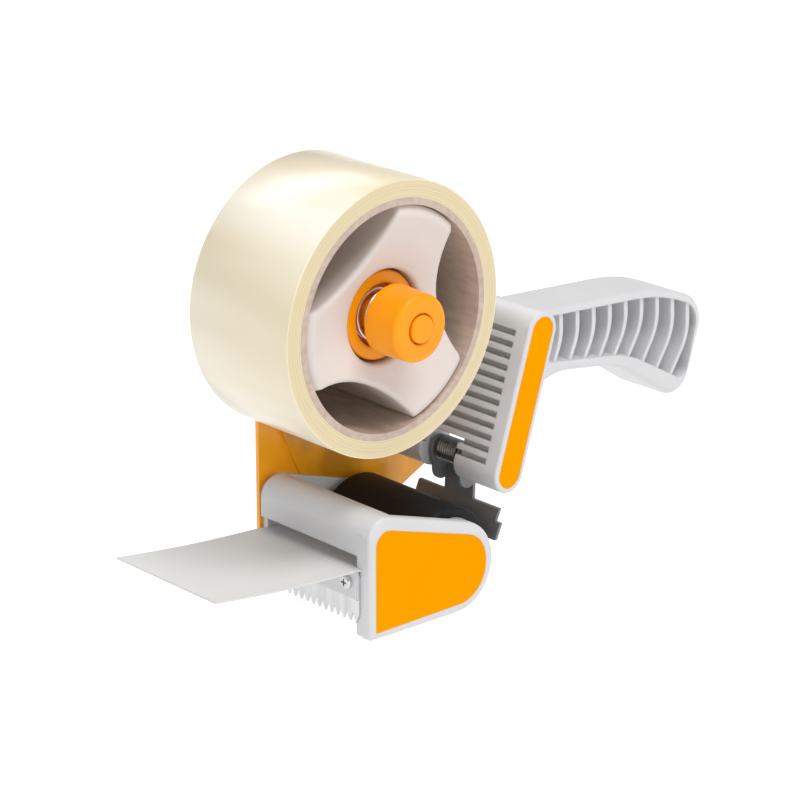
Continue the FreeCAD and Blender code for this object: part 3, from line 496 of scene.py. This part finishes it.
def slab(line, near, far, thick, across):
    """Points and faces of a sheet along a line of (x, z) points, from near to far along Y."""
    rows, wide = len(line), across + 1
    points = []
    for side in (0.5, -0.5):
        for x, z in line:
            for step in range(wide):
                points.append((x, near + (far - near) * step / across, z + side * thick))
    top = []
    for row in range(rows - 1):
        for step in range(across):
            corner = row * wide + step
            top.append((corner, corner + 1, corner + wide + 1, corner + wide))
    count = rows * wide
    faces = top + [tuple(count + corner for corner in reversed(face)) for face in top]
    rim = list(range(wide)) + [row * wide + across for row in range(1, rows)]
    rim += [(rows - 1) * wide + step for step in range(across - 1, -1, -1)]
    rim += [row * wide for row in range(rows - 2, 0, -1)]
    for here, after in zip(rim, rim[1:] + rim[:1]):
        faces.append((here, after, count + after, count + here))
    return points, faces


def span(node, axis):
    """The low and high ends of a CAD node's box along an axis."""
    low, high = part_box(node)
    return low[axis], high[axis]


def width(node):
    """How wide a CAD node's box is along X."""
    low, high = span(node, 0)
    return high - low


def joint_place(name):
    """A point on a joint's axis."""
    return next(joint["pos_m"] for joint in frame["joints"] if joint["name"] == name)


def wound_face(begin, stop, face, inward):
    """Points across one face of the roll, whose layers stand a little uneven."""
    layers = 20
    points = []
    for layer in range(layers + 1):
        radius = begin + (stop - begin) * layer / layers
        uneven = 0.05 * MM * math.sin(2.3 * layer) * (0 < layer < layers)
        points.append((radius, face + inward * (0.06 * MM + uneven)))
    return points


def make_tape(materials):
    """The wound roll, with a slightly rounded outer edge."""
    near, far = span("tape_roll", 1)
    outer = OUTER_RADIUS
    inner = width("tape_core") / 2
    edge = 0.35 * MM
    round_in, round_along = 0.1 * MM, 0.14 * MM
    profile = wound_face(inner, outer - edge, near, 1)
    profile += [(outer - round_in, near + round_along), (outer, near + edge)]
    profile += [(outer, far - edge), (outer - round_in, far - round_along)]
    profile += wound_face(outer - edge, inner, far, -1)
    piece = turned("wound_tape", profile, 240, materials["tape_film"])
    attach(piece, "tape_hub")
    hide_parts("tape_roll")


def make_tension_spring(materials):
    """Five turns of wire. The ends are wound close, one wire a turn, and the middle is open."""
    thick = 1.3 * MM
    radius = (width("tension_spring") - thick) / 2
    inner, outer = span("tension_spring", 1)[1] - thick / 2, span("tension_spring", 1)[0] + thick / 2
    turns, close_turns, steps = 5, 0.8, 48
    close = close_turns / turns
    close_rise = close_turns * thick
    first = 2.4
    path = []
    for step in range(turns * steps + 1):
        share = step / (turns * steps)
        wound_close = (min(share, close) + max(share - 1 + close, 0.0)) / close
        wound_open = min(max((share - close) / (1 - 2 * close), 0.0), 1.0)
        y = inner - close_rise * wound_close + (outer - inner + 2 * close_rise) * wound_open
        angle = 2 * math.pi * step / steps + first
        path.append((radius * math.cos(angle), y, radius * math.sin(angle)))
    piece = wire("coil_spring", path, thick / 2, materials["spring_steel"])
    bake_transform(piece)
    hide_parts("tension_spring")


def make_torsion_spring(materials):
    """A close coil around the retainer's hinge pin, without legs, in a darker steel than the coil spring as
    painted shade. It stays with the frame.
    """
    thick = 1.1 * MM
    radius = 3.95 * MM
    centre_x, _, centre_z = joint_place("retainer_swing")
    far, near = span("torsion_spring", 1)[1] - thick / 2, span("torsion_spring", 1)[0] + thick / 2
    turns, steps = 8, 32
    first = math.radians(200)
    path = []
    for step in range(turns * steps + 1):
        angle = first + 2 * math.pi * step / steps
        y = far + (near - far) * step / (turns * steps)
        path.append((centre_x + radius * math.cos(angle), y, centre_z + radius * math.sin(angle)))
    # Painted shade: this spring wire takes the darker tempered_steel instead of spring_steel, so its coil looks
    # shaded.
    piece = wire("hinge_spring", path, thick / 2, materials["tempered_steel"])
    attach(piece, "frame")
    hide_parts("torsion_spring")


def flap_line(root_x, root_z, front):
    """The flap from the tab on the ledge, over the root and out to the front with a slight rise and sag."""
    slope = math.tan(math.radians(6.5))
    sag = 0.7 * MM
    steps = 48
    line = [(-9 * MM, -84.0 * MM), (-12 * MM, -83.9 * MM), (-15 * MM, -83.45 * MM)]
    for step in range(steps + 1):
        share = step / steps
        x = root_x + (front - root_x) * share
        line.append((x, root_z + slope * (root_x - x) - sag * math.sin(math.pi * share)))
    return line


def make_flap(materials):
    """A thin sheet held on the ledge, over the clamp's edge and out to the front."""
    near, far = span("flap", 1)
    front = span("flap", 0)[0] + 0.1 * MM
    hinge_x, _, hinge_z = joint_place("flap_flex")
    root_z = hinge_z + 0.3 * MM
    points, faces = slab(flap_line(hinge_x, root_z, front), near, far, thick=0.6 * MM, across=12)
    piece = add_mesh("tape_flap", points, faces, materials["flap_plastic"])
    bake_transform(piece)
    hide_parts("flap")


MATERIALS = make_materials()
make_camera()
make_light()
make_floor()
paint_cad(MATERIALS)
make_tape(MATERIALS)
make_tension_spring(MATERIALS)
make_torsion_spring(MATERIALS)
make_flap(MATERIALS)
